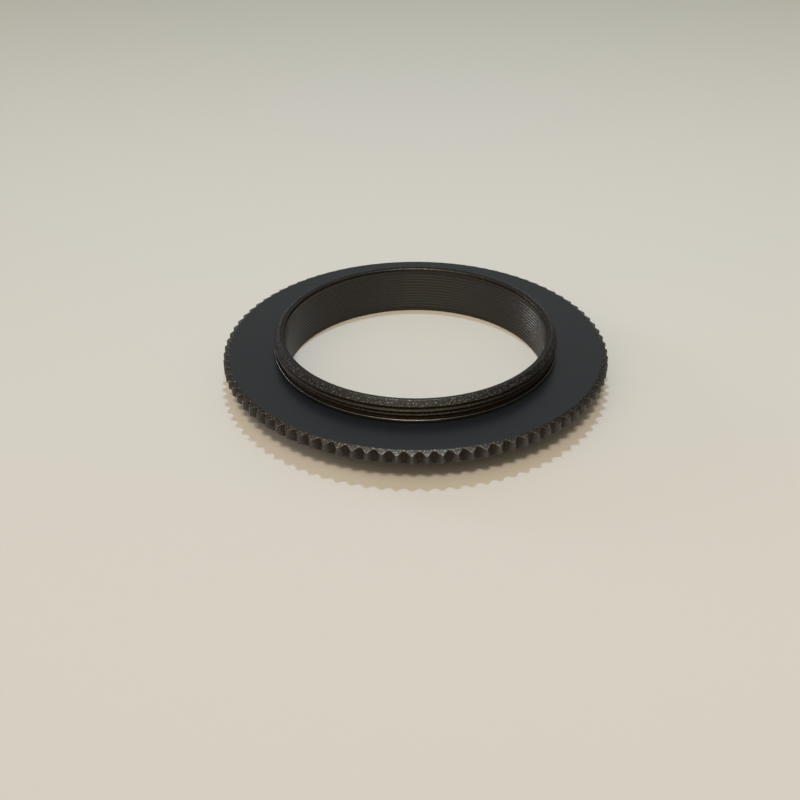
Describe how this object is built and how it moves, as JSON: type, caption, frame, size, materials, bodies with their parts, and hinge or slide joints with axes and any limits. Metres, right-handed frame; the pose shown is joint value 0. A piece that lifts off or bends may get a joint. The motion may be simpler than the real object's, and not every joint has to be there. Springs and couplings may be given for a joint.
{
  "type": "thread adapter",
  "caption": "Flat turned metal ring with a knurled flange, a low collar with a fine male thread and a finely threaded bore, joining camera parts of different threads.",
  "frame": {"origin": "on the ring's axis, at the foot of the lower spigot, where the ring stands on a table", "axes": "+Z along the axis, from the spigot towards the male thread; the teeth repeat round the axis, so +X and +Y are free"},
  "size_m": [0.0572, 0.0572, 0.0077],
  "materials": {
    "black_anodised": "satin black anodised"
  },
  "bodies": {
    "root": {"adapter_ring": "black_anodised"}
  },
  "joints": []
}
